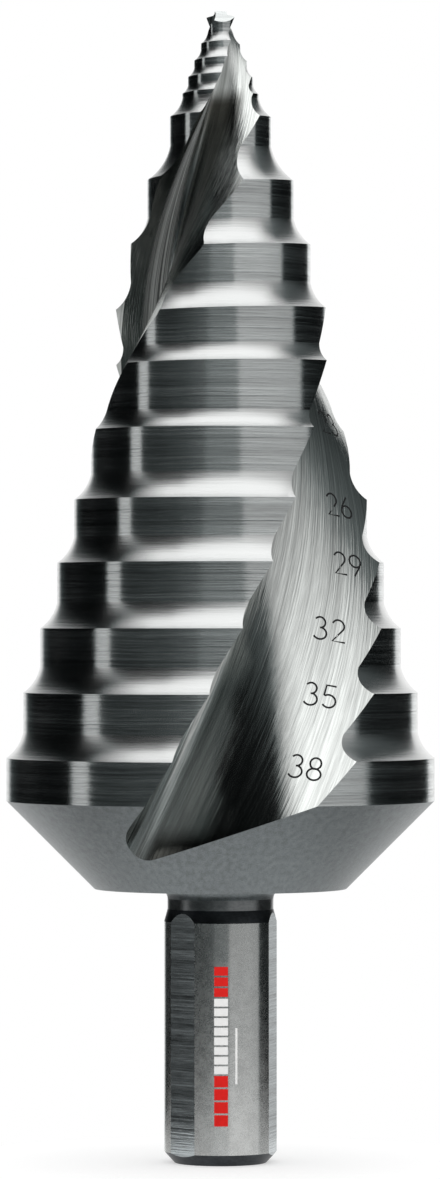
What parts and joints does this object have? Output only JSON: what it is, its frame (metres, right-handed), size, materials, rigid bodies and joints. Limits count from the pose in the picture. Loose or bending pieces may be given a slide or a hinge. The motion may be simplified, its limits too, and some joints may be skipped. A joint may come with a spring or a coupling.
{
  "type": "step drill bit",
  "caption": "Conical step drill bit with a pilot point, helical chip flutes, stepped cutting diameters up to 38 mm and a 10 mm shank with chuck flats.",
  "frame": {"origin": "centre of the flat end of the shank", "axes": "+Z along the drill's axis from the shank to the point, -Y towards the side that the picture shows"},
  "size_m": [0.038, 0.037, 0.1022],
  "materials": {
    "tool_steel": "ground bright, with a matte blasted cone under the collar"
  },
  "bodies": {
    "root": {"step_drill": "tool_steel"}
  },
  "joints": []
}
